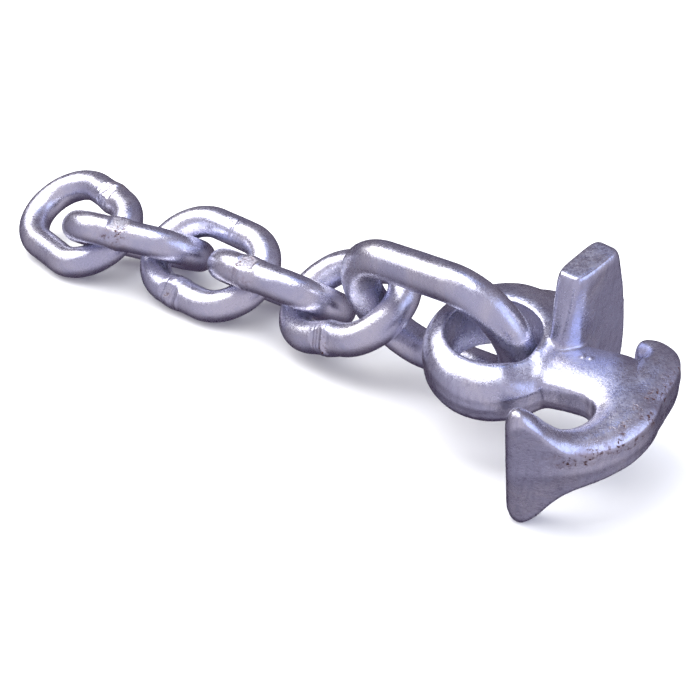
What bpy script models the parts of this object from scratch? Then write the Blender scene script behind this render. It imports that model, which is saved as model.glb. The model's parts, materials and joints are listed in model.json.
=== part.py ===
"""Anchor-shaped forged hook on a short welded chain: five chain links, one long link, one forging."""
import bpy
import bmesh
from math import sin, cos, pi, radians
from mathutils import Matrix, Vector

MM = 0.001

# ---- driving dimensions, millimetres -------------------------------------------------
WIRE = 10.0            # chain wire, 3/8 in proof coil
LINK_IN = 30.4         # inside length of a chain link
LINK_W = 16.8          # inside width of a chain link
LONG_WIRE = 11.1       # long link wire, 7/16 in
LONG_IN = 46.6         # inside length of the long link
LONG_W = 24.0          # inside width of the long link
WELD = 1.08            # weld swell, ratio to the wire

EYE_A, EYE_B = 21.0, 24.2      # half length and half width of the eye
EYE_C = (2.6, -1.8)            # centre of the eye outline
EYE_T = 8.5                    # half thickness of the eye at the bore
EYE_EDGE = 3.2                 # half height of its outer edge
HOLE_R = 12.6                  # bore of the eye
HOLE_C = (1.1, -3.6)           # centre of the bore
BLADE_H = 27.6                 # height of the cross blade above the parting plane
BLADE_LOW = 20.5               # and below it
BLADE_C = (23.4, 8.2)          # where the cross blade stands
BLADE_ALONG = (0.38, 0.925)    # along its length
BLADE_OUT = (0.925, -0.38)     # out of its crown side face
FACE_OFF = 4.4                 # from its middle to that face
PALM_H = 18.9                  # half height of the palm at the arm tip
PALM_ALONG = (-0.9, -0.43)     # along the arm where the palm is
PALM_OUT = (0.43, -0.9)        # out of the palm's outer face
PALM_AT = (20.5, -42.6)        # middle of the palm
PALM_OFF = 3.2                 # from there to the outer face
WALL = (-14.4, 4.0)            # middle of the eye wall the long link turns on

# ---- how the pieces lie on the floor ---------------------------------------------------
# heading, upward pitch and roll, in whole degrees; the places follow from what bears on what
FORGING_LIES = (-21, 0, 13)
LONG_LIES = (-46, 5, -66)
LONG_END = (7.0, -3.0, 3.5)    # where the long link's end sits in the eye, in the forging's axes
PLAY = 0.55                    # clearance between two wires that bear on each other
NEAREST = 0.8 * WIRE           # the search for that clearance starts this far apart
STEP = 0.02                    # and goes on in steps of this size
# name, how it lies, sideways slip in the link before it, height held off the floor, weld (leg:
# +1 far or -1 near, and how far along it), and whether the link turns on its own end (True) or
# on the end of the link before it
LINKS = [
    ("chain_link_5", (-43, 17, 33), 2.0, 3.5, (-1, 1.0), False),
    ("chain_link_4", (-38, 0, -36), 1.0, 0.5, (-1, -3.0), False),
    ("chain_link_3", (-42, -2, 33), -1.5, 0.5, (-1, -2.5), False),
    ("chain_link_2", (-14, -7, -32), 2.0, 0.1, (-1, -3.0), False),
    ("chain_link_1", (-53, -2, 30), 1.5, 0.1, (1, 2.5), True),
]

ZINC = (0.56, 0.57, 0.64, 1.0)


def clear_scene():
    for ob in list(bpy.data.objects):
        bpy.data.objects.remove(ob, do_unlink=True)


def collection(name):
    col = bpy.data.collections.new(name)
    bpy.context.scene.collection.children.link(col)
    return col


def material(name, colour, roughness):
    mat = bpy.data.materials.new(name)
    mat.use_nodes = True
    bsdf = mat.node_tree.nodes["Principled BSDF"]
    bsdf.inputs["Base Color"].default_value = colour
    bsdf.inputs["Metallic"].default_value = 1.0
    bsdf.inputs["Roughness"].default_value = roughness
    return mat


def attitude(angles):
    """Rotation of a piece with heading, upward pitch and roll."""
    yaw, pitch, roll = (radians(a) for a in angles)
    return Matrix.Rotation(yaw, 4, "Z") @ Matrix.Rotation(-pitch, 4, "Y") @ Matrix.Rotation(roll, 4, "X")


def add_object(name, mesh, matrix, col, mat, pivot=(0, 0, 0)):
    """Put a mesh made in local axes at matrix, with its origin moved to the pivot (local, m)."""
    mesh.transform(Matrix.Translation(-Vector(pivot)))
    mesh.materials.clear()
    mesh.materials.append(mat)
    for poly in mesh.polygons:
        poly.use_smooth = True
    ob = bpy.data.objects.new(name, mesh)
    col.objects.link(ob)
    ob.matrix_world = matrix @ Matrix.Translation(Vector(pivot))
    return ob


# ---- chain links ---------------------------------------------------------------------
def stadium(inside, width, wire, weld, arc=10):
    """Centreline of a welded link: (x, y, radius ratio), with the weld swell on one straight leg."""
    r = (width + wire) / 2.0
    half = (inside - width) / 2.0
    pts = []
    for end in (1, -1):
        for i in range(arc + 1):
            a = -pi / 2 + pi * i / arc
            pts.append((end * (half + r * cos(a)), end * r * sin(a), 1.0))
        if weld is not None and weld[0] == end:
            for off, ratio in ((3.6, 1.0), (1.8, WELD), (0.0, WELD), (-1.8, WELD), (-3.6, 1.0)):
                pts.append((weld[1] + end * off, end * r, ratio))
    return pts


def tube(name, pts, wire, sides=4):
    curve = bpy.data.curves.new(name, "CURVE")
    curve.dimensions = "3D"
    curve.bevel_depth = wire / 2.0 * MM
    curve.bevel_resolution = sides
    spline = curve.splines.new("POLY")
    spline.points.add(len(pts) - 1)
    for p, (x, y, ratio) in zip(spline.points, pts):
        p.co = (x * MM, y * MM, 0.0, 1.0)
        p.radius = ratio
    spline.use_cyclic_u = True
    ob = bpy.data.objects.new(name, curve)
    bpy.context.scene.collection.objects.link(ob)
    bpy.context.view_layer.update()
    mesh = bpy.data.meshes.new_from_object(ob.evaluated_get(bpy.context.evaluated_depsgraph_get()))
    bpy.data.objects.remove(ob, do_unlink=True)
    bm = bmesh.new()
    bm.from_mesh(mesh)
    bmesh.ops.remove_doubles(bm, verts=bm.verts, dist=0.00001)
    bmesh.ops.recalc_face_normals(bm, faces=bm.faces)
    bm.to_mesh(mesh)
    bm.free()
    mesh.name = name
    return mesh


# ---- forging -------------------------------------------------------------------------
def section(centre, along, half_w, top, edge, low=1.0, count=10):
    """Section across 'along': straight sides up to edge (down to edge * low), domed over to top."""
    side = Vector((-along[1], along[0], 0.0)).normalized()
    arch = []
    for i in range(count + 1):
        u = cos(pi * i / count)
        arch.append((u * half_w, edge + (top - edge) * (1.0 - u * u) ** 0.6))
    under = [(-u, -z + edge * (1.0 - low) * (u / half_w) ** 4) for u, z in arch]
    profile = [(half_w + 0.35, 0.0)] + arch + [(-half_w - 0.35, 0.0)] + under
    base = Vector((centre[0], centre[1], 0.0))
    return [(base + side * u + Vector((0, 0, z))) * MM for u, z in profile]


def loft(name, rings):
    bm = bmesh.new()
    rows = [[bm.verts.new(p) for p in ring] for ring in rings]
    n = len(rows[0])
    for a, b in zip(rows, rows[1:]):
        for i in range(n):
            j = (i + 1) % n
            bm.faces.new((a[i], a[j], b[j], b[i]))
    bm.faces.new(list(reversed(rows[0])))
    bm.faces.new(rows[-1])
    bmesh.ops.recalc_face_normals(bm, faces=bm.faces)
    mesh = bpy.data.meshes.new(name)
    bm.to_mesh(mesh)
    bm.free()
    return bpy.data.objects.new(name, mesh)


def shank_and_arm():
    # centre x, y; direction; half width; half height at the middle and at the edge; lower edge
    rows = [
        ((6.0, -8.2), (1, 0), 9.2, 7.0, 4.0, 0.45),
        ((16.0, -8.4), (1, 0), 9.3, 6.8, 4.3, 0.45),
        ((29.0, -8.8), (1, -0.06), 9.5, 6.8, 4.6, 0.45),
        ((36.6, -10.8), (0.85, -0.5), 10.3, 7.0, 4.8, 0.6),
        ((40.4, -16.6), (0.35, -0.94), 9.0, 7.2, 4.8, 0.7),
        ((40.3, -24.9), (-0.35, -0.94), 7.0, 7.2, 4.8, 0.8),
        ((36.4, -32.4), (-0.72, -0.69), 5.7, 7.4, 4.9, 0.9),
        ((30.6, -37.7), (-0.88, -0.47), 4.8, 8.6, 6.2, 1.0),
        ((26.6, -40.0), (-0.9, -0.43), 4.1, 12.0, 10.0, 1.0),
        ((23.2, -41.6), (-0.9, -0.43), 3.7, PALM_H - 2.6, PALM_H - 4.6, 1.0),
        ((19.9, -42.9), (-0.9, -0.43), 3.3, PALM_H, PALM_H - 2.2, 1.0),
        ((17.7, -43.6), (-0.9, -0.43), 2.6, PALM_H - 1.0, PALM_H - 3.4, 1.0),
        ((16.6, -44.0), (-0.9, -0.43), 1.3, PALM_H - 4.0, PALM_H - 6.0, 1.0),
    ]
    return loft("arm", [section(*row) for row in rows])


def nub():
    rows = [
        ((41.4, -18.0), (0.08, 1.0), 7.0, 7.0, 4.8),
        ((43.0, -10.0), (0.2, 0.98), 6.8, 7.0, 4.8),
        ((44.8, -3.0), (0.25, 0.97), 6.0, 6.8, 4.6),
        ((44.9, 1.6), (-0.35, 0.94), 5.0, 6.3, 4.0),
        ((42.8, 4.7), (-0.85, 0.5), 4.3, 5.7, 3.3),
        ((40.2, 5.7), (-1.0, 0.1), 3.9, 5.2, 2.7),
        ((38.4, 5.8), (-1.0, 0.0), 3.2, 4.4, 2.2),
        ((37.4, 5.8), (-1.0, 0.0), 1.8, 2.8, 1.3),
    ]
    return loft("nub", [section(*row) for row in rows])


def web():
    """Shoulder between the eye and the cross blade on the far side."""
    rows = [
        ((1.0, 9.5), (1, 0), 11.0, 6.4, 3.2),
        ((10.0, 10.2), (1, 0), 12.2, 6.4, 3.4),
        ((20.0, 9.6), (1, -0.1), 10.6, 6.0, 3.4),
    ]
    return loft("web", [section(*row) for row in rows])


def blade():
    """Upright cross blade: sections stacked along local Z."""
    t = Vector((*BLADE_ALONG, 0.0)).normalized()
    n = Vector((*BLADE_OUT, 0.0)).normalized()
    mid = Vector((BLADE_C[0], BLADE_C[1], 0.0))
    rings = []
    for z, half_l, half_t in ((-1.0, 7.9, 3.6), (-0.94, 8.7, 4.3), (-0.8, 9.3, 4.8), (-0.45, 10.7, 5.6),
                              (0.0, 11.3, 6.2), (0.45, 10.7, 5.6), (0.8, 9.5, 4.9), (0.94, 8.9, 4.4),
                              (1.0, 8.1, 3.7)):
        ring = []
        for i in range(24):
            a = 2 * pi * i / 24
            c, s = cos(a), sin(a)
            u = abs(c) ** 0.55 * (1 if c >= 0 else -1) * half_l
            w = abs(s) ** 0.45 * (1 if s >= 0 else -1) * half_t
            ring.append((mid + t * u + n * w + Vector((0, 0, z * (BLADE_H if z > 0 else BLADE_LOW)))) * MM)
        rings.append(ring)
    return loft("blade", rings)


def eye():
    """Oval plate of the eye, edge rounded, before the bore is cut."""
    rings = []
    half = [(0.0, 1.0), (EYE_EDGE, 0.985), (0.72 * EYE_T, 0.87), (0.93 * EYE_T, 0.74), (EYE_T, 0.62)]
    for z, grow in [(-z, grow) for z, grow in reversed(half[1:])] + half:
        ring = []
        for i in range(48):
            c, s = cos(2 * pi * i / 48), sin(2 * pi * i / 48)
            x = EYE_C[0] + EYE_A * grow * abs(c) ** 1.08 * (1 if c > 0 else -1)
            y = EYE_C[1] + EYE_B * grow * abs(s) ** 1.08 * (1 if s > 0 else -1)
            ring.append(Vector((x, y, z)) * MM)
        rings.append(ring)
    return loft("eye", rings)


def box(name, matrix, size):
    bm = bmesh.new()
    bmesh.ops.create_cube(bm, size=1.0, matrix=matrix @ Matrix.Diagonal((*[s * MM for s in size], 1.0)))
    mesh = bpy.data.meshes.new(name)
    bm.to_mesh(mesh)
    bm.free()
    return bpy.data.objects.new(name, mesh)


def boolean(target, other, kind):
    mod = target.modifiers.new(kind, "BOOLEAN")
    mod.operation = kind
    mod.solver = "EXACT"
    mod.object = other


def bake(ob, name):
    bpy.context.view_layer.update()
    mesh = bpy.data.meshes.new_from_object(ob.evaluated_get(bpy.context.evaluated_depsgraph_get()))
    mesh.name = name
    return mesh


def flat_cutters():
    """Boxes that leave true flats: blade face (above and below), blade ends, palm face."""
    out = []
    t = Vector((*BLADE_ALONG, 0.0)).normalized()
    n = Vector((*BLADE_OUT, 0.0)).normalized()
    frame = Matrix((n, t, Vector((0, 0, 1)))).transposed().to_4x4()
    mid = Vector((BLADE_C[0], BLADE_C[1], 0.0))
    for up, high in ((1, BLADE_H), (-1, BLADE_LOW)):
        at = mid + n * (FACE_OFF + 5.0) + Vector((0, 0, up * (9.0 + 15.0)))
        out.append(box("cut_face", Matrix.Translation(at * MM) @ frame, (10.0, 30.0, 30.0)))
        at = mid + Vector((0, 0, up * (high - 0.4 + 5.0)))
        out.append(box("cut_end", Matrix.Translation(at * MM), (40.0, 40.0, 10.0)))
    d = Vector((*PALM_ALONG, 0.0)).normalized()
    side = Vector((*PALM_OUT, 0.0)).normalized()
    frame = Matrix((d, side, Vector((0, 0, 1)))).transposed().to_4x4()
    at = Vector((*PALM_AT, 0.0)) + side * (PALM_OFF + 5.0)
    out.append(box("cut_palm", Matrix.Translation(at * MM) @ frame, (22.0, 10.0, 44.0)))
    return out


def forging_mesh(cutters):
    body = eye()
    bpy.context.scene.collection.objects.link(body)
    bm = bmesh.new()
    bmesh.ops.create_cone(bm, cap_ends=True, segments=48, radius1=HOLE_R * MM, radius2=HOLE_R * MM,
                          depth=40 * MM, matrix=Matrix.Translation(Vector((*HOLE_C, 0.0)) * MM))
    bore_mesh = bpy.data.meshes.new("bore")
    bm.to_mesh(bore_mesh)
    bm.free()
    bore = bpy.data.objects.new("bore", bore_mesh)
    for other, kind in ((shank_and_arm(), "UNION"), (nub(), "UNION"), (web(), "UNION"), (blade(), "UNION"),
                        (bore, "DIFFERENCE")):
        cutters.objects.link(other)
        boolean(body, other, kind)
    remesh = body.modifiers.new("blend", "REMESH")
    remesh.mode = "VOXEL"
    remesh.voxel_size = 0.9 * MM
    smooth = body.modifiers.new("fillet", "SMOOTH")
    smooth.factor = 0.5
    smooth.iterations = 9
    thin = body.modifiers.new("thin", "DECIMATE")
    thin.ratio = 0.16
    for cut in flat_cutters():
        cutters.objects.link(cut)
        boolean(body, cut, "DIFFERENCE")
    mesh = bake(body, "forging")
    bpy.data.objects.remove(body, do_unlink=True)
    bm = bmesh.new()
    bm.from_mesh(mesh)
    bmesh.ops.remove_doubles(bm, verts=bm.verts, dist=0.00002)
    bmesh.ops.dissolve_degenerate(bm, edges=bm.edges, dist=0.00002)
    bmesh.ops.triangulate(bm, faces=bm.faces)
    bmesh.ops.recalc_face_normals(bm, faces=bm.faces)
    bm.to_mesh(mesh)
    bm.free()
    return mesh


# ---- layout --------------------------------------------------------------------------
def centreline(inside, width, wire, at):
    """Points along a link's centreline, placed by the matrix at (metres)."""
    return [at @ Vector((x * MM, y * MM, 0.0)) for x, y, _ in stadium(inside, width, wire, None, 24)]


def resting_height(inside, width, wire, turn):
    """Height of a link's centre when its lowest point is on the floor."""
    x, y = turn[2][0], turn[2][1]
    return ((inside - width) / 2 * abs(x) + (width + wire) / 2 * (x * x + y * y) ** 0.5 + wire / 2) * MM


def clearance(line, others):
    return min((p - q).length for p in line for q in others)


def hang(line, end, before, angles, slip, lift, need):
    """Matrix of a chain link that hangs in the link before it.

    line: centreline of the link before; end: middle of its bend; before: its matrix;
    need: distance between the two centrelines when the wires bear (metres)."""
    turn = attitude(angles)
    pull = (before.col[0].xy.normalized() + turn.col[0].xy.normalized()).normalized()
    across = Vector((-pull.y, pull.x))
    half = (LINK_IN + WIRE) / 2 * MM
    height = resting_height(LINK_IN, LINK_W, WIRE, turn) + lift * MM
    own = centreline(LINK_IN, LINK_W, WIRE, turn)
    reach = NEAREST * MM
    while True:
        tip = end.xy + pull * reach + across * (slip * MM)
        centre = Vector((*(tip - turn.col[0].xy * half), height))
        if clearance([centre + p for p in own], line) >= need:
            return Matrix.Translation(centre) @ turn
        reach += STEP * MM


def centre_on_floor(objects):
    """Move everything so that the floor box is centred on the origin and the lowest point is at 0."""
    corners = [ob.matrix_world @ v.co for ob in objects for v in ob.data.vertices]
    low, high = (Vector([pick(c[k] for c in corners) for k in range(3)]) for pick in (min, max))
    shift = Vector(((low.x + high.x) / 2, (low.y + high.y) / 2, low.z))
    for ob in objects:
        ob.matrix_world = Matrix.Translation(-shift) @ ob.matrix_world


def main():
    clear_scene()
    parts = collection("chain_anchor")
    cutters = collection("cutters")

    body = forging_mesh(cutters)
    seat = attitude(FORGING_LIES)
    seat = Matrix.Translation((0, 0, -min((seat @ v.co).z for v in body.vertices))) @ seat
    placed = [add_object("anchor_forging", body, seat, parts, material("zinc_forging", ZINC, 0.34))]

    # the long link turns on the eye wall
    wall = seat @ (Vector((*WALL, 0.0)) * MM)
    turn = attitude(LONG_LIES)
    half = (LONG_IN + LONG_WIRE) / 2 * MM
    at = Matrix.Translation(seat @ (Vector(LONG_END) * MM) - turn.col[0].xyz * half) @ turn
    long_mesh = tube("long_link", stadium(LONG_IN, LONG_W, LONG_WIRE, None, 14), LONG_WIRE, 5)
    placed.append(add_object("long_link", long_mesh, at, parts, material("zinc_long_link", ZINC, 0.28),
                             at.inverted() @ wall))

    line, end = centreline(LONG_IN, LONG_W, LONG_WIRE, at), at @ Vector((-half, 0, 0))
    half = (LINK_IN + WIRE) / 2 * MM
    need = ((LONG_WIRE + WIRE) / 2 + PLAY) * MM
    for name, angles, slip, lift, weld, own in LINKS:
        at = hang(line, end, at, angles, slip, lift, need)
        pivot = Vector((half, 0, 0)) if own else at.inverted() @ end
        placed.append(add_object(name, tube(name, stadium(LINK_IN, LINK_W, WIRE, weld), WIRE), at, parts,
                                 material("zinc_" + name, ZINC, 0.33), pivot))
        line, end = centreline(LINK_IN, LINK_W, WIRE, at), at @ Vector((-half, 0, 0))
        need = (WIRE + PLAY) * MM

    centre_on_floor(placed)
    for ob in cutters.objects:
        ob.hide_render = True
        ob.display_type = "WIRE"


main()
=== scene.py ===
import json
from math import ceil, cos, pi, radians, sin, sqrt

import bmesh
import bpy
import numpy as np
from mathutils import Matrix, Vector, noise


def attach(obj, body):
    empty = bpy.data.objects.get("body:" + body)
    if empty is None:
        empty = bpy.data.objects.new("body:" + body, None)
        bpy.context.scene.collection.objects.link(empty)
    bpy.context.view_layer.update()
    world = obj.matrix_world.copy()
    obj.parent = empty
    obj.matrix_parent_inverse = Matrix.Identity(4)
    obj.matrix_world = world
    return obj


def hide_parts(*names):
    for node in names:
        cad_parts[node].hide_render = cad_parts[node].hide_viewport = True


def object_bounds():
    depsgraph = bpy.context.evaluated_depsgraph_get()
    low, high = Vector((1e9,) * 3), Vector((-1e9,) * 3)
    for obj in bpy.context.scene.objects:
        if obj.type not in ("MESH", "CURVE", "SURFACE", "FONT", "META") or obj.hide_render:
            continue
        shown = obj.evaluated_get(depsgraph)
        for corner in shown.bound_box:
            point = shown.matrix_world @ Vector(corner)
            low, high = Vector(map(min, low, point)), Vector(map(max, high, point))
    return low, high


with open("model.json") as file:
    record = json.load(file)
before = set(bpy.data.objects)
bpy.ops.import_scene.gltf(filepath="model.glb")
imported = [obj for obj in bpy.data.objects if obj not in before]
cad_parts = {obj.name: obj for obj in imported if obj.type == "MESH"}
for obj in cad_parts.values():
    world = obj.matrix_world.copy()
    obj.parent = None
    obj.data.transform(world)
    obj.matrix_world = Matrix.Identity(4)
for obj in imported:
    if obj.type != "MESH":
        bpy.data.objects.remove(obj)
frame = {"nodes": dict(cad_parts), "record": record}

CAD_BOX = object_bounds()
MM = 0.001

# ---- sizes shared with the CAD solids, millimetres ------------------------------------
WIRE, LINK_IN, LINK_W = 10.0, 30.4, 16.8              # a chain link, and its inside length and width
LONG_WIRE, LONG_IN, LONG_W = 11.1, 46.6, 24.0
EYE_A, EYE_B, EYE_C = 21.0, 24.2, (2.6, -1.8)         # the eye's oval outline: half axes and middle
EYE_T, EYE_EDGE = 8.5, 3.2                            # half thickness at the crest and at the rim
HOLE_R, HOLE_C = 12.6, (1.1, -3.6)
BLADE_H, BLADE_LOW, BLADE_C = 27.6, 20.5, (23.4, 8.2)     # height above and below, and middle
BLADE_ALONG, BLADE_OUT = (0.38, 0.925), (0.925, -0.38)    # along the blade, and towards the crown
FACE_OFF = 4.4                 # the blade's flat crown side, from its middle
FACE_UP = 18.0                 # height of the blade face mount above the parting plane
PALM_H = 18.9

# ---- surface of the forging, millimetres -----------------------------------------------
VOXEL = 0.36
FILLET_STEPS, FILLET_HIGH = 24, 13.0          # smoothing of inside corners, and where it ends
SADDLE, SADDLE_SPREAD, SADDLE_STEPS = (17.0, -14.0), 45.0, 60   # the ring meets the shank here
WAVES = [(0.10, 11.0, 3), (0.030, 3.0, 9)]    # unevenness: rise, size, seed
DIMPLE, DIMPLE_REACH, DIMPLE_DEEP = (12.5, -14.5), (4.0, 5.5), 0.7    # dent beside the shank
SPECKS, SPECK_RISE = [(26.0, -6.0, 0.8), (28.0, -6.0, 0.7)], 0.45     # of scale: x, y, size
RUST_UP, RUST_WIDE = 4.6, 2.6                 # band of rust round the top edge of the crown
RUST_WAY, RUST_FROM, RUST_FADE = (0.8, -0.45), 38.0, 5.0      # it begins this far out, that way

# ---- camera, metres and degrees --------------------------------------------------------
CAM_AIM = (0.009, 0.0, 0.0035)   # what it looks at, from the middle of the object's floor box
CAM_DISTANCE, CAM_ELEVATION, CAM_LEAN = 0.52, 28.8, -0.65
CAM_LENS, CAM_SENSOR = 90.3, 36.0


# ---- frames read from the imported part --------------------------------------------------
def solid_frame(node):
    """Matrix of a link: centre of volume, x along it (towards +X), z square to its plane (upwards)."""
    mesh = frame["nodes"][node].data
    mesh.calc_loop_triangles()
    co = np.array([v.co for v in mesh.vertices])
    tri = co[np.array([t.vertices[:] for t in mesh.loop_triangles])]
    ref = co.mean(0)
    a, b, c = (tri[:, i] - ref for i in range(3))
    vol = np.einsum("ij,ij->i", a, np.cross(b, c)) / 6.0
    total = a + b + c
    centre = (total * vol[:, None]).sum(0) / 4.0 / vol.sum()
    second = sum(np.einsum("i,ij,ik->jk", vol / 20.0, p, p) for p in (total, a, b, c))
    second -= vol.sum() * np.outer(centre, centre)
    axes = np.linalg.eigh(second)[1]
    x, z = axes[:, 2], axes[:, 0]
    x = x if x[0] > 0 else -x
    z = z if z[2] > 0 else -z
    y = np.cross(z, x)
    turn = Matrix((x, y, z)).transposed().to_4x4()
    return Matrix.Translation(Vector(ref + centre)) @ turn


def forging_frame():
    """Matrix of the forging's design axes, from its blade mounts."""
    mounts = {m["name"]: m for m in frame["record"]["mounts"]}
    z = Vector(mounts["blade_top"]["axis"]).normalized()
    out = Vector(mounts["blade_face"]["axis"])
    out = (out - z * out.dot(z)).normalized()
    along = z.cross(out)
    n = Vector((*BLADE_OUT, 0.0)).normalized()
    x = out * n.x - along * n.y
    turn = Matrix((x, z.cross(x), z)).transposed()
    local = Vector((*BLADE_C, 0.0)) + n * FACE_OFF + Vector((0.0, 0.0, FACE_UP))
    at = Vector(mounts["blade_face"]["pos_m"]) - turn @ (local * MM)
    return Matrix.Translation(at) @ turn.to_4x4()


# ---- materials ------------------------------------------------------------------------
class Graph:
    """Short helper for building a node tree."""

    def __init__(self, tree):
        self.tree = tree

    def add(self, kind, settings=None, **sockets):
        made = self.tree.nodes.new(kind)
        for key, value in (settings or {}).items():
            setattr(made, key, value)
        for key, value in sockets.items():
            self.put(made.inputs[key.replace("_", " ")], value)
        return made

    def put(self, socket, value):
        if isinstance(value, bpy.types.NodeSocket):
            self.tree.links.new(value, socket)
        else:
            socket.default_value = value

    def math(self, operation, a, b=0.0, c=0.0):
        made = self.tree.nodes.new("ShaderNodeMath")
        made.operation = operation
        for socket, value in zip(made.inputs, (a, b, c)):
            self.put(socket, value)
        return made.outputs[0]

    def remap(self, value, lo, hi, out_lo, out_hi, smooth=False):
        kind = "SMOOTHSTEP" if smooth else "LINEAR"
        made = self.add("ShaderNodeMapRange", {"interpolation_type": kind}, Value=value,
                        From_Min=lo, From_Max=hi, To_Min=out_lo, To_Max=out_hi)
        return made.outputs["Result"]

    def noise(self, where, scale, detail=2.0, roughness=0.5, distortion=0.0):
        made = self.add("ShaderNodeTexNoise", Scale=scale, Detail=detail, Roughness=roughness,
                        Distortion=distortion, Vector=where)
        return made.outputs["Fac"]

    def mix(self, fac, a, b):
        made = self.tree.nodes.new("ShaderNodeMix")
        made.data_type = "RGBA"
        self.put(made.inputs["Factor"], fac)
        self.put(made.inputs[6], a)
        self.put(made.inputs[7], b)
        return made.outputs[2]


# zinc colours, and how many features of each kind there are to a metre
BLUISH, PALE, CLOUDS = (0.67, 0.68, 0.82, 1), (0.80, 0.79, 0.86, 1), 75.0
PATCH_BLUE, PATCHES = (0.60, 0.63, 0.78, 1), 310.0
FLECK_GREY, FLECKS, DUST = (0.52, 0.49, 0.60, 1), 1500.0, 4200.0
STREAK_GREY, STREAKS, STREAK_STRETCH = (0.50, 0.50, 0.62, 1), 900.0, 0.08
STAIN_BROWN, STAINS = (0.42, 0.33, 0.36, 1), 420.0
RUST_BROWN, PITS, PIT_GROUPS = (0.165, 0.070, 0.058, 1), 900.0, 210.0
GRAIN_HEIGHT = 0.000045        # metres
GRAIN, SATIN, SMOOTHER = 1.6, 0.27, 0.26      # strength of the grain, and two roughnesses
FORGING_STREAKS = 0.5


def zinc(name, seed, grain, rough, streaks=0.0):
    """Bright electroplated zinc: bluish clouds, fine grain, stained and rusted where 'stain' says."""
    mat = bpy.data.materials.new(name)
    mat.use_nodes = True
    g = Graph(mat.node_tree)
    bsdf = mat.node_tree.nodes["Principled BSDF"]
    where = g.add("ShaderNodeTexCoord").outputs["Object"]
    shifted = g.add("ShaderNodeVectorMath", {"operation": "ADD"})
    g.put(shifted.inputs[0], where)
    g.put(shifted.inputs[1], (seed * 0.37, seed * 0.11, seed * 0.23))
    at = shifted.outputs[0]
    cloud = g.noise(at, CLOUDS, 3.0, 0.55, 0.6)
    patch = g.noise(at, PATCHES, 4.0, 0.6)
    fleck = g.noise(at, FLECKS, 3.0, 0.6)
    dust = g.noise(at, DUST, 2.0, 0.5)

    tint = g.mix(g.remap(cloud, 0.35, 0.66, 0.0, 1.0, True), BLUISH, PALE)
    tint = g.mix(g.remap(patch, 0.52, 0.75, 0.0, 0.55, True), tint, PATCH_BLUE)
    tint = g.mix(g.remap(fleck, 0.58, 0.80, 0.0, 0.35, True), tint, FLECK_GREY)

    stretched = g.add("ShaderNodeVectorMath", {"operation": "MULTIPLY"})
    g.put(stretched.inputs[0], at)
    g.put(stretched.inputs[1], (1.0, 1.0, STREAK_STRETCH))
    drawn = g.noise(stretched.outputs[0], STREAKS, 2.0, 0.6)
    tint = g.mix(g.remap(drawn, 0.45, 0.70, 0.0, streaks, True), tint, STREAK_GREY)

    stain = g.add("ShaderNodeAttribute", {"attribute_name": "stain"}).outputs["Fac"]
    deep = g.math("MULTIPLY", g.remap(g.noise(at, PITS, 3.0, 0.6, 0.4), 0.51, 0.62, 0.0, 1.0, True),
                  g.remap(g.noise(at, PIT_GROUPS, 3.0), 0.46, 0.62, 0.0, 1.0, True))
    spots = g.math("MULTIPLY", deep, g.remap(stain, 0.25, 0.8, 0.0, 1.0, True))
    halo = g.math("MULTIPLY", g.remap(stain, 0.1, 1.0, 0.0, 0.55, True),
                  g.remap(g.noise(at, STAINS, 5.0, 0.65), 0.44, 0.68, 0.0, 1.0, True))
    tint = g.mix(halo, tint, STAIN_BROWN)
    tint = g.mix(spots, tint, RUST_BROWN)
    g.put(bsdf.inputs["Base Color"], tint)

    shine = g.math("ADD", g.remap(patch, 0.3, 0.7, rough - 0.05, rough + 0.07),
                   g.remap(fleck, 0.35, 0.7, -0.05, 0.09))
    shine = g.math("ADD", shine, g.math("MULTIPLY", spots, 0.45))
    g.put(bsdf.inputs["Roughness"], g.math("ADD", shine, g.math("MULTIPLY", halo, 0.12)))
    bsdf.inputs["Metallic"].default_value = 1.0

    height = g.math("MULTIPLY", patch, 1.1)
    height = g.math("ADD", height, g.math("MULTIPLY", fleck, 0.80))
    height = g.math("ADD", height, g.math("MULTIPLY", dust, 0.26))
    height = g.math("SUBTRACT", height, g.math("MULTIPLY", spots, 1.2))
    bump = g.add("ShaderNodeBump", Strength=1.0, Distance=GRAIN_HEIGHT * grain, Height=height)
    g.put(bsdf.inputs["Normal"], bump.outputs[0])
    return mat


# ---- mesh helpers ---------------------------------------------------------------------
def unit(rows):
    return rows / np.maximum(np.linalg.norm(rows, axis=-1, keepdims=True), 1e-12)


def new_object(name, data):
    ob = bpy.data.objects.new(name, data)
    bpy.context.scene.collection.objects.link(ob)
    return ob


def grid_mesh(name, points, closed_rows):
    """Mesh over a grid of points: columns always join round; rows join round or are capped."""
    rows, cols = points.shape[:2]
    i, j = np.meshgrid(np.arange(rows if closed_rows else rows - 1), np.arange(cols), indexing="ij")
    i2, j2 = (i + 1) % rows, (j + 1) % cols
    faces = np.stack([i * cols + j, i * cols + j2, i2 * cols + j2, i2 * cols + j], -1).reshape(-1, 4).tolist()
    if not closed_rows:
        faces.append(list(range(cols)))
        faces.append([(rows - 1) * cols + k for k in range(cols)])
    mesh = bpy.data.meshes.new(name)
    mesh.from_pydata((points.reshape(-1, 3) * MM).tolist(), [], faces)
    bm = bmesh.new()
    bm.from_mesh(mesh)
    bmesh.ops.recalc_face_normals(bm, faces=bm.faces)
    bm.to_mesh(mesh)
    bm.free()
    return mesh


def fractal(points, size, seed, octaves=3):
    """Smooth noise about 0 at each point (mm), with features of the given size in mm."""
    shift = Vector((seed * 7.3, seed * 3.1, seed * 5.7))
    return np.array([noise.fractal(Vector(p) / size + shift, 1.0, 2.0, octaves) for p in points])


def set_stain(mesh, values):
    layer = mesh.attributes.new("stain", "FLOAT", "POINT")
    layer.data.foreach_set("value", np.clip(values, 0.0, 1.0).astype(np.float32))


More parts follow.
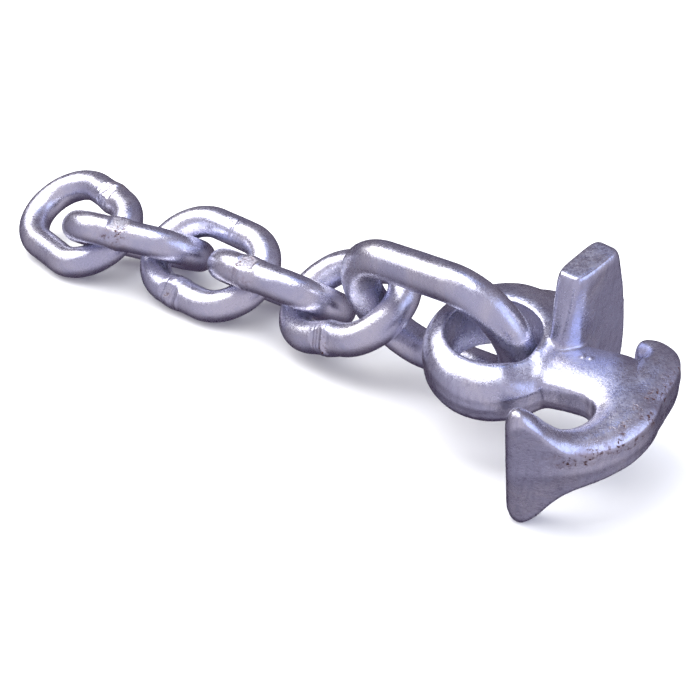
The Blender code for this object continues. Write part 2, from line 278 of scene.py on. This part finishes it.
def finish_piece(ob, body, material):
    ob.data.materials.clear()
    ob.data.materials.append(material)
    ob.data.shade_smooth()
    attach(ob, body)
    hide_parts(body)


# ---- chain links ----------------------------------------------------------------------
WIRE_WAVES = [(0.070, 10.0), (0.012, 2.6)]    # unevenness of the wire: rise, size
UPSET_RISE, UPSET_REACH = 0.34, 3.4           # the wire is thicker round its weld
BEAD_RISE, BEAD_WIDE = 0.22, 0.75
TRIM_LINES, TRIM_WIDE = [(2.6, 0.12), (-2.9, 0.10)], 0.35   # cuts beside the weld: place, depth
WELD_STAIN = 5.5
FAR = 99.0                                    # beyond the reach of any mark
# name, weld (leg, offset), die flats (leg, offset, angle from outwards, depth, reach), and lines
# (leg, offset, middle angle, angle reached either way, slant, rise, thickness)
CHAIN = [
    ("chain_link_5", (-1, 1.0), [(-1, 1.0, 55, 0.30, 4.2), (-1, -3.4, -20, 0.2, 2.6)],
     [(-1, 2.8, 50, 62, 0.3, 0.95, 0.70), (-1, 0.8, 50, 40, 0.1, -0.26, 0.26),
      (-1, -0.4, 50, 40, 0.1, -0.26, 0.26), (-1, -1.6, 50, 40, 0.1, -0.26, 0.26)]),
    ("chain_link_4", (-1, -3.0), [(-1, -3.0, 35, 0.45, 3.4)],
     [(-1, 0.6, 40, 50, -0.8, 0.26, 0.40), (-1, -5.8, 60, 40, 0.6, -0.16, 0.25)]),
    ("chain_link_3", (-1, -2.5), [(-1, -2.5, 60, 0.40, 4.0), (1, 1.0, 80, 0.12, 3.0)],
     [(-1, -5.0, 60, 60, 0.4, -0.34, 0.30), (-1, -0.2, 60, 60, 0.4, -0.34, 0.30),
      (-1, 1.4, 20, 30, 0.2, 0.36, 0.40), (1, 2.2, 90, 55, 0.5, -0.30, 0.30)]),
    ("chain_link_2", (-1, -3.0), [(-1, -3.0, 40, 0.55, 3.2)],
     [(-1, -6.2, 40, 40, 0.5, 0.16, 0.35), (-1, 0.4, 45, 45, -0.4, -0.15, 0.25)]),
    ("chain_link_1", (1, 2.5), [(1, 2.5, 95, 0.35, 3.8), (1, 2.5, 150, 0.3, 3.0)],
     [(1, 0.3, 95, 50, 0.5, 0.26, 0.34), (1, 2.4, 95, 42, -2.6, 0.55, 0.40),
      (1, 4.6, 95, 50, 0.5, 0.26, 0.34)]),
]


def link_path(inside, width, wire, step):
    """Evenly spaced centreline of a link: points, outward directions, and the radius of its bends."""
    r = (width + wire) / 2.0
    half = (inside - width) / 2.0
    total = 4.0 * half + 2.0 * pi * r
    count = ceil(total / step)
    pts, outs = [], []
    for k in range(count):
        s = total * k / count
        if s < 2.0 * half:                               # near leg, towards +x
            pts.append((-half + s, -r))
            outs.append((0.0, -1.0))
        elif s < 2.0 * half + pi * r:
            a = -pi / 2 + (s - 2.0 * half) / r
            pts.append((half + r * cos(a), r * sin(a)))
            outs.append((cos(a), sin(a)))
        elif s < 4.0 * half + pi * r:                     # far leg, towards -x
            pts.append((half - (s - 2.0 * half - pi * r), r))
            outs.append((0.0, 1.0))
        else:
            a = pi / 2 + (s - 4.0 * half - pi * r) / r
            pts.append((-half + r * cos(a), r * sin(a)))
            outs.append((cos(a), sin(a)))
    return np.array(pts), np.array(outs), r


def weld_relief(path, phi, flat, seed, leg, off):
    """Rise of the wire round its weld, and the stain there."""
    side = np.where(np.sign(path[:, 1]) == leg, path[:, 0] - off, FAR)[:, None]
    ragged = fractal(flat, 1.6, seed, 3).reshape(len(path), len(phi))
    rise = UPSET_RISE * np.exp(-(side / UPSET_REACH) ** 4)
    bead = np.exp(-((side - 0.5 * ragged) / BEAD_WIDE) ** 2)
    rise = rise + BEAD_RISE * bead * (0.75 + 0.5 * ragged)
    for place, depth in TRIM_LINES:
        rise -= depth * np.exp(-((side - place - 0.7 * ragged) / TRIM_WIDE) ** 2)
    upper = (0.55 + 0.35 * np.cos(phi + 0.5))[None, :]
    return rise, np.exp(-(side / WELD_STAIN) ** 2) * upper


def press_flat(points, path, radius, bend, leg, off, angle, depth, reach):
    """One die flat: what stands past its plane is pressed back onto it."""
    normal = np.array([0.0, leg * cos(radians(angle)), sin(radians(angle))])
    on_leg = np.sign(path[:, 1]) == leg
    side = np.clip(1.0 - (np.abs(path[:, 0] - off) / reach) ** 10, 0.0, 1.0) * on_leg
    level = ((points - np.array([off, leg * bend, 0.0])) @ normal) - (radius - depth)
    push = np.clip(level, 0.0, None) * side[:, None]
    return points - push[:, :, None] * normal * 0.9


def line_relief(path, phi, flat, seed, leg, off, middle, reach, slant, rise, thick):
    """One bead (rise above 0) or cut (below 0) that runs round part of the wire."""
    turn = (np.degrees(phi) - middle + 180.0) % 360.0 - 180.0
    window = np.exp(-(turn / reach) ** 6)[None, :]
    wander = 0.15 * fractal(flat, 3.5, seed, 2).reshape(len(path), len(phi))
    along = path[:, :1] - off - slant * turn[None, :] / 60.0 - wander
    on_leg = (np.sign(path[:, 1]) == leg)[:, None]
    return rise * np.exp(-(along / thick) ** 2) * window * on_leg


def link_points(inside, width, wire, seed, weld=None, marks=(), lines=(), step=0.36, around=80):
    """Surface grid of one link with its weld and grip marks, and the stain at each point."""
    path, out, bend = link_path(inside, width, wire, step)
    phi = 2.0 * pi * np.arange(around) / around
    rows = len(path)
    direction = np.zeros((rows, around, 3))
    direction[:, :, 0] = out[:, None, 0] * np.cos(phi)
    direction[:, :, 1] = out[:, None, 1] * np.cos(phi)
    direction[:, :, 2] = np.sin(phi)[None, :]
    centre = np.zeros((rows, 1, 3))
    centre[:, 0, :2] = path
    radius = np.full((rows, around), wire / 2.0)
    flat = (centre + direction * radius[:, :, None]).reshape(-1, 3)
    for extra, (rise, size) in enumerate(WIRE_WAVES):
        radius += rise * fractal(flat, size, seed + extra, 2).reshape(rows, around)
    stain = np.zeros((rows, around))
    if weld is not None:
        relief, stain = weld_relief(path, phi, flat, seed + 2, *weld)
        radius += relief
    points = centre + direction * radius[:, :, None]
    for mark in marks:
        points = press_flat(points, path, wire / 2.0, bend, *mark)
    for line in lines:
        points = points + direction * line_relief(path, phi, flat, seed + 3, *line)[:, :, None]
    return points, stain


def make_link(name, inside, width, wire, seed, material, weld=None, marks=(), lines=()):
    """Skin of one link, laid in the frame of its CAD solid."""
    points, stain = link_points(inside, width, wire, seed, weld, marks, lines)
    mesh = grid_mesh(name, points, True)
    set_stain(mesh, stain.reshape(-1))
    mesh.transform(solid_frame(name))
    ob = new_object(name + "_skin", mesh)
    finish_piece(ob, name, material)


# ---- forging --------------------------------------------------------------------------
def catmull(rows, per):
    """Smooth rows of numbers through the given rows, with 'per' steps between each two."""
    p = np.vstack([2 * rows[0] - rows[1], rows, 2 * rows[-1] - rows[-2]])
    out = []
    for k in range(1, len(p) - 2):
        for i in range(per):
            t = i / per
            out.append(0.5 * (2 * p[k] + (p[k + 1] - p[k - 1]) * t
                              + (2 * p[k - 1] - 5 * p[k] + 4 * p[k + 1] - p[k + 2]) * t ** 2
                              + (3 * p[k] - p[k - 1] - 3 * p[k + 1] + p[k + 2]) * t ** 3))
    out.append(p[-2])
    return np.array(out)


FLASH, FLASH_FOOT = 0.3, 0.12  # how far the parting line stands out, and the side next to it


def profile(half_w, top, edge, low, count=22, power=2.5):
    """Forged cross-section: domed top, upright trimmed side, domed underside."""
    u = np.cos(pi * np.arange(count + 1) / count)
    arch = edge + (top - edge) * (1.0 - np.abs(u) ** power)
    under = arch - edge * (1.0 - low) * np.abs(u) ** 4
    upper = np.stack([u * half_w, arch], -1)
    lower = np.stack([-u * half_w, -under[::-1]], -1)
    foot, flash = half_w + FLASH_FOOT, half_w + FLASH
    right = [(foot, -edge * 0.4 * low), (flash, 0.0), (foot, edge * 0.4)]
    left = [(-foot, edge * 0.4), (-flash, 0.0), (-foot, -edge * 0.4 * low)]
    return np.vstack([np.array(right), upper, np.array(left), lower])


def bar(name, stations, per=5):
    """Loft of the forged cross-section along stations of (x, y, dx, dy, half width, top, edge, low)."""
    rings = []
    for x, y, dx, dy, half_w, top, edge, low in catmull(np.array(stations, float), per):
        d = np.array([dx, dy]) / sqrt(dx * dx + dy * dy)
        prof = profile(half_w, top, edge, low)
        ring = np.zeros((len(prof), 3))
        ring[:, 0] = x - d[1] * prof[:, 0]
        ring[:, 1] = y + d[0] * prof[:, 0]
        ring[:, 2] = prof[:, 1]
        rings.append(ring)
    return grid_mesh(name, np.array(rings), False)


# stations of each bar: x, y, heading (dx, dy), half width, height at the middle, height at the side,
# and how much of the side's height the underside keeps
ARM = [
    (6.0, -8.2, 1, 0, 9.2, 7.0, 4.0, 0.45),
    (16.0, -8.4, 1, 0, 9.3, 6.8, 4.3, 0.45),
    (29.0, -8.8, 1, -0.06, 9.5, 6.8, 4.6, 0.45),
    (36.6, -10.8, 0.85, -0.5, 10.3, 7.0, 4.8, 0.6),
    (40.4, -16.6, 0.35, -0.94, 9.0, 7.2, 4.8, 0.7),
    (40.3, -24.9, -0.35, -0.94, 7.0, 7.2, 4.8, 0.8),
    (36.4, -32.4, -0.72, -0.69, 5.7, 7.4, 4.9, 0.9),
    (30.6, -37.7, -0.88, -0.47, 4.8, 8.6, 6.2, 1.0),
    (26.6, -40.0, -0.9, -0.43, 4.1, 12.0, 10.0, 1.0),
    (23.2, -41.6, -0.9, -0.43, 3.7, PALM_H - 2.6, PALM_H - 4.6, 1.0),
    (19.9, -42.9, -0.9, -0.43, 3.3, PALM_H, PALM_H - 2.2, 1.0),
    (17.7, -43.6, -0.9, -0.43, 2.6, PALM_H - 1.0, PALM_H - 3.4, 1.0),
    (16.6, -44.0, -0.9, -0.43, 1.3, PALM_H - 4.0, PALM_H - 6.0, 1.0),
]
NUB = [
    (41.4, -18.0, 0.08, 1.0, 7.0, 7.0, 4.8, 1.0),
    (43.0, -10.0, 0.20, 0.98, 6.8, 7.0, 4.8, 1.0),
    (44.8, -3.0, 0.25, 0.97, 6.0, 6.8, 4.6, 1.0),
    (44.9, 1.6, -0.35, 0.94, 5.0, 6.3, 4.0, 1.0),
    (42.8, 4.7, -0.85, 0.5, 4.3, 5.7, 3.3, 1.0),
    (40.2, 5.7, -1.0, 0.1, 3.9, 5.2, 2.7, 1.0),
    (38.4, 5.8, -1.0, 0.0, 3.2, 4.4, 2.2, 1.0),
    (37.4, 5.8, -1.0, 0.0, 1.8, 2.8, 1.3, 1.0),
]
WEB = [
    (1.0, 9.5, 1, 0, 11.0, 6.4, 3.2, 1.0),
    (10.0, 10.2, 1, 0, 12.2, 6.4, 3.4, 1.0),
    (20.0, 9.6, 1, -0.1, 10.6, 6.0, 3.4, 1.0),
]
FOOT_LONGER, FOOT_THINNER = 0.30, 0.66
# height (share of the blade above or below), half length, half thickness
BLADE = [(-1.0, 7.9, 3.6), (-0.94, 8.7, 4.3), (-0.8, 9.3, 4.8), (-0.45, 10.7, 5.6), (0.0, 11.3, 6.2),
         (0.45, 10.7, 5.6), (0.8, 9.5, 4.9), (0.94, 8.9, 4.4), (1.0, 8.1, 3.7)]


def blade_mesh(name):
    """Upright cross blade: rounded oblong sections, cut flat on the crown side."""
    t, n = unit(np.array([*BLADE_ALONG, 0.0])), unit(np.array([*BLADE_OUT, 0.0]))
    mid = np.array([*BLADE_C, 0.0])
    a = 2.0 * pi * np.arange(72) / 72
    u = np.abs(np.cos(a)) ** 0.45 * np.sign(np.cos(a))
    w = np.abs(np.sin(a)) ** 0.34 * np.sign(np.sin(a))
    rings = []
    near = np.clip(-u, 0.0, 1.0)
    for z, half_l, half_t in catmull(np.array(BLADE), 5):
        up = z * (BLADE_H if z > 0 else BLADE_LOW)
        # the near end runs out thinner and longer towards the shank
        foot = min(1.0, 1.15 - z) if z > 0 else 1.0 + z
        ring = mid + t * (u * half_l * (1.0 + FOOT_LONGER * near * foot))[:, None]
        off = w * half_t * (1.0 - FOOT_THINNER * near ** 2.2 * foot)
        ring = ring + n * np.minimum(off, FACE_OFF)[:, None]
        ring[:, 2] = up
        rings.append(ring)
    return grid_mesh(name, np.array(rings), False)


CREST = 0.33                   # where the ring is highest, as a share of the way from bore to rim
EYE_SLOPE, EYE_DIP = 0.45, 1.3   # share of the fall that is straight; how much lower the bore's lip is
BORE_STOCK = 1.5               # metal inside the bore's wall, which the bore cuts away


def eye_mesh(name):
    """Oval plate whose faces rise over the middle of the ring and dip to the bore."""
    a = 2.0 * pi * np.arange(120) / 120
    c, s = np.cos(a), np.sin(a)
    rim = np.stack([EYE_C[0] + EYE_A * np.abs(c) ** 1.04 * np.sign(c),
                    EYE_C[1] + EYE_B * np.abs(s) ** 1.04 * np.sign(s)], -1)
    inner = HOLE_R - BORE_STOCK
    hole = np.stack([HOLE_C[0] + inner * c, HOLE_C[1] + inner * s], -1)
    rings, faces = [], []
    for t in np.linspace(0.0, 1.0, 16):
        inward, outward = max(0.0, (CREST - t) / CREST), max(0.0, (t - CREST) / (1.0 - CREST))
        fall = EYE_SLOPE * outward + (1.0 - EYE_SLOPE) * outward ** 4
        faces.append((t, EYE_EDGE + (EYE_T - EYE_EDGE) * (1.0 - fall) - EYE_DIP * inward ** 2))
    for t, z in faces:
        rings.append(np.column_stack([hole + (rim - hole) * t, np.full(len(a), z)]))
    for z in (EYE_EDGE * 0.4, 0.0, -EYE_EDGE * 0.4):
        out = 1.005 if z else 1.012
        ring = np.array(EYE_C) + (rim - np.array(EYE_C)) * out
        rings.append(np.column_stack([ring, np.full(len(a), z)]))
    for t, z in reversed(faces):
        rings.append(np.column_stack([hole + (rim - hole) * t, np.full(len(a), -z)]))
    return grid_mesh(name, np.array(rings), False)


def bore_mesh(name):
    """Punched hole: a little narrower at the middle than at the mouths."""
    a = 2.0 * pi * np.arange(96) / 96
    rings = []
    for z, flare in ((-20.0, 0.5), (-8.0, 0.35), (-1.0, 0.0), (1.0, 0.0), (8.0, 0.35), (20.0, 0.5)):
        x, y = HOLE_C[0] + (HOLE_R + flare) * np.cos(a), HOLE_C[1] + (HOLE_R + flare) * np.sin(a)
        rings.append(np.column_stack([x, y, np.full(len(a), z)]))
    return grid_mesh(name, np.array(rings), False)


def evaluated(ob, name):
    """New mesh of the object with its modifiers applied."""
    bpy.context.view_layer.update()
    mesh = bpy.data.meshes.new_from_object(ob.evaluated_get(bpy.context.evaluated_depsgraph_get()))
    mesh.name = name
    return mesh


def voxel(ob, size):
    mod = ob.modifiers.new("blend", "REMESH")
    mod.mode = "VOXEL"
    mod.voxel_size = size * MM


def edge_list(mesh):
    edges = np.empty(len(mesh.edges) * 2, np.int64)
    mesh.edges.foreach_get("vertices", edges)
    return edges.reshape(-1, 2)


def neighbour_mean(values, edges, count):
    """Mean of each vertex's neighbours, for an (n, k) array."""
    first, second = edges[:, 0], edges[:, 1]
    total = np.empty_like(values)
    for k in range(values.shape[1]):
        total[:, k] = (np.bincount(first, values[second, k], len(values))
                       + np.bincount(second, values[first, k], len(values)))
    return total / count[:, None]


def relax(values, edges, count, weight, steps):
    """Draw each row towards the mean of its neighbours, as strongly as its weight says."""
    for _ in range(steps):
        values = values + (neighbour_mean(values, edges, count) - values) * weight[:, None]
    return values


def vertex_normals(mesh):
    out = np.empty(len(mesh.vertices) * 3, np.float32)
    mesh.vertex_normals.foreach_get("vector", out)
    return out.reshape(-1, 3).astype(float)


def coords(mesh):
    co = np.empty(len(mesh.vertices) * 3, np.float32)
    mesh.vertices.foreach_get("co", co)
    return co.reshape(-1, 3).astype(float)


def put_coords(mesh, co):
    mesh.vertices.foreach_set("co", (co * MM).astype(np.float32).ravel())
    mesh.update()


def blended_solid():
    """Eye, arm, nub, web and blade run together on a fine grid, with the bore cut through."""
    parts = [eye_mesh("eye"), bar("arm", ARM), bar("nub", NUB), bar("web", WEB, 8), blade_mesh("blade")]
    bm = bmesh.new()
    for part in parts:
        bm.from_mesh(part)
    whole = bpy.data.meshes.new("whole")
    bm.to_mesh(whole)
    bm.free()
    body = new_object("forging_work", whole)
    voxel(body, VOXEL)
    cutter = new_object("bore_work", bore_mesh("bore"))
    cut = body.modifiers.new("bore", "BOOLEAN")
    cut.operation, cut.solver, cut.object = "DIFFERENCE", "EXACT", cutter
    voxel(body, VOXEL)
    mesh = evaluated(body, "forging_skin")
    bpy.data.objects.remove(body, do_unlink=True)
    bpy.data.objects.remove(cutter, do_unlink=True)
    return mesh


def soften(mesh, co):
    """Forged fillets: inside corners get a generous one, outside edges stay crisp."""
    edges = edge_list(mesh)
    count = np.bincount(edges.ravel(), minlength=len(co)).astype(float)
    even = np.full(len(co), 0.5)
    co = relax(co, edges, count, even, 3)
    lift = np.einsum("ij,ij->i", neighbour_mean(co, edges, count) - co, vertex_normals(mesh))
    hollow = np.clip(lift / (VOXEL * 0.05) - 0.5, 0.0, 1.0)
    for _ in range(4):
        hollow = np.maximum(hollow, neighbour_mean(hollow[:, None], edges, count)[:, 0])
    hollow = relax(hollow[:, None], edges, count, even, 5)[:, 0]
    low_part = np.clip((FILLET_HIGH - np.abs(co[:, 2])) / 4.0, 0.0, 1.0)
    co = relax(co, edges, count, np.clip(hollow, 0.0, 1.0) * low_part * 0.6, FILLET_STEPS)
    # the top of the ring flows into the shank in one soft saddle
    saddle = np.exp(-((co[:, 0] - SADDLE[0]) ** 2 + (co[:, 1] - SADDLE[1]) ** 2) / SADDLE_SPREAD)
    saddle *= np.clip((np.abs(co[:, 2]) - 3.6) / 1.5, 0.0, 1.0)
    co = relax(co, edges, count, saddle * 0.6, SADDLE_STEPS)
    return relax(co, edges, count, np.full(len(co), 0.4), 2)


def unevenness(co):
    """How far each point stands out from the smooth forging: waves, a dent and two specks of scale."""
    rise = sum(tall * fractal(co, size, seed, 2) for tall, size, seed in WAVES)
    dimple = sum(((co[:, k] - DIMPLE[k]) / DIMPLE_REACH[k]) ** 2 for k in (0, 1))
    rise -= DIMPLE_DEEP * np.exp(-dimple ** 2) * (co[:, 2] > 0.0)
    for x, y, size in SPECKS:
        away = (co[:, 0] - x) ** 2 + (co[:, 1] - y) ** 2
        rise += SPECK_RISE * np.exp(-away / size ** 2) * (co[:, 2] > 4.0) * (co[:, 2] < 10.0)
    return rise


def forging_mesh():
    mesh = blended_solid()
    co = soften(mesh, coords(mesh) / MM)
    put_coords(mesh, co)
    co = co + vertex_normals(mesh) * unevenness(co)[:, None]
    put_coords(mesh, co)
    # rust gathers along the upper outer corner of the crown
    outer = np.clip((co[:, 0] * RUST_WAY[0] + co[:, 1] * RUST_WAY[1] - RUST_FROM) / RUST_FADE, 0.0, 1.0)
    band = np.exp(-((co[:, 2] - RUST_UP) / RUST_WIDE) ** 2)
    set_stain(mesh, outer * band * 1.3)
    return mesh


def make_forging(material):
    mesh = forging_mesh()
    mesh.transform(forging_frame())
    ob = new_object("anchor_forging_skin", mesh)
    finish_piece(ob, "anchor_forging", material)


# ---- studio, metres and watts ---------------------------------------------------------
# name, place, aim, size, power, colour
LAMPS = [
    ("left_softbox", (-0.45, 0.15, 0.52), (0.0, 0.0, 0.0), (0.54, 0.52), 2.6, (1.0, 0.99, 0.99)),
    ("overhead", (-0.14, -0.06, 0.75), (0.0, 0.0, 0.0), (0.50, 0.40), 2.1, (0.97, 0.98, 1.0)),
    ("blue_side", (0.50, -0.26, 0.30), (0.03, -0.02, 0.02), (0.45, 0.45), 0.75, (0.50, 0.63, 1.0)),
    ("blue_back", (0.10, 0.16, 0.68), (0.03, -0.02, 0.02), (0.30, 0.16), 0.14, (0.42, 0.56, 1.0)),
]
# what the metal mirrors, and what lights the floor
DARK_LOW, DIM_HIGH, PALE_FRONT = (0.065, 0.048, 0.085, 1), (0.160, 0.138, 0.195, 1), (0.540, 0.505, 0.620, 1)
ROOM = (1.30, 1.30, 1.33, 1)
PAPER_DIM, PAPER_BRIGHT, PAPER_SIZE = (0.86, 0.86, 0.87, 1), (0.90, 0.90, 0.905, 1), 3.0


def area(name, at, aim, size, power, colour):
    lamp = bpy.data.lights.new(name, "AREA")
    lamp.shape = "RECTANGLE"
    lamp.size, lamp.size_y = size
    lamp.energy, lamp.color = power, colour
    ob = new_object(name, lamp)
    ob.location = at
    ob.rotation_euler = (Vector(aim) - Vector(at)).to_track_quat("-Z", "Y").to_euler()


def make_world():
    world = bpy.data.worlds.new("studio")
    bpy.context.scene.world = world
    world.use_nodes = True
    g = Graph(world.node_tree)
    back = world.node_tree.nodes["Background"]
    way = g.add("ShaderNodeSeparateXYZ", Vector=g.add("ShaderNodeTexCoord").outputs["Generated"]).outputs
    # dark low down behind, dim above, and pale where the table in front throws light back
    height = g.math("ADD", way["Z"], g.math("MULTIPLY", way["Y"], -0.75))
    sky = g.mix(g.remap(height, -0.95, -0.30, 0.0, 1.0), DARK_LOW, DIM_HIGH)
    aside = g.math("MULTIPLY", g.math("ABSOLUTE", way["X"]), 0.35)
    front = g.remap(g.math("SUBTRACT", aside, way["Y"]), -0.40, 0.90, 0.0, 1.0)
    front = g.math("MULTIPLY", front, g.remap(way["Z"], -1.0, -0.60, 0.15, 1.0, True))
    sky = g.mix(front, sky, PALE_FRONT)
    both = g.mix(g.add("ShaderNodeLightPath").outputs["Is Glossy Ray"], ROOM, sky)
    g.put(back.inputs["Color"], both)
    back.inputs["Strength"].default_value = 1.0


def make_floor():
    bm = bmesh.new()
    bmesh.ops.create_grid(bm, x_segments=2, y_segments=2, size=PAPER_SIZE)
    mesh = bpy.data.meshes.new("floor")
    bm.to_mesh(mesh)
    bm.free()
    mat = bpy.data.materials.new("floor_paper")
    mat.use_nodes = True
    g = Graph(mat.node_tree)
    bsdf = mat.node_tree.nodes["Principled BSDF"]
    where = g.add("ShaderNodeTexCoord").outputs["Object"]
    g.put(bsdf.inputs["Base Color"], g.mix(g.noise(where, 40.0, 3.0), PAPER_DIM, PAPER_BRIGHT))
    bsdf.inputs["Roughness"].default_value = 0.9
    bsdf.inputs["Specular IOR Level"].default_value = 0.1
    mesh.materials.append(mat)
    floor = new_object("floor", mesh)
    floor.location.z = CAD_BOX[0].z
    floor.visible_glossy = False


def make_camera():
    cam = bpy.data.cameras.new("camera")
    cam.lens, cam.sensor_width, cam.clip_start = CAM_LENS, CAM_SENSOR, 0.01
    ob = new_object("camera", cam)
    low, high = CAD_BOX
    floor_middle = Vector(((low[0] + high[0]) / 2, (low[1] + high[1]) / 2, low[2]))
    up = radians(CAM_ELEVATION)
    ob.location = floor_middle + Vector(CAM_AIM) + Vector((0.0, -cos(up), sin(up))) * CAM_DISTANCE
    ob.rotation_euler = (pi / 2 - up, radians(CAM_LEAN), 0.0)
    bpy.context.scene.camera = ob


make_camera()
make_world()
for lamp in LAMPS:
    area(*lamp)
make_floor()
bpy.context.scene.view_settings.view_transform = "Standard"

make_forging(zinc("zinc_forging", 1, GRAIN, SATIN, FORGING_STREAKS))
smooth_zinc = zinc("zinc_long_link", 2, GRAIN, SMOOTHER)
make_link("long_link", LONG_IN, LONG_W, LONG_WIRE, 2, smooth_zinc)
for index, (link, weld, marks, lines) in enumerate(CHAIN):
    skin = zinc("zinc_" + link, 3 + index, GRAIN, SATIN)
    make_link(link, LINK_IN, LINK_W, WIRE, 11 + 4 * index, skin, weld, marks, lines)
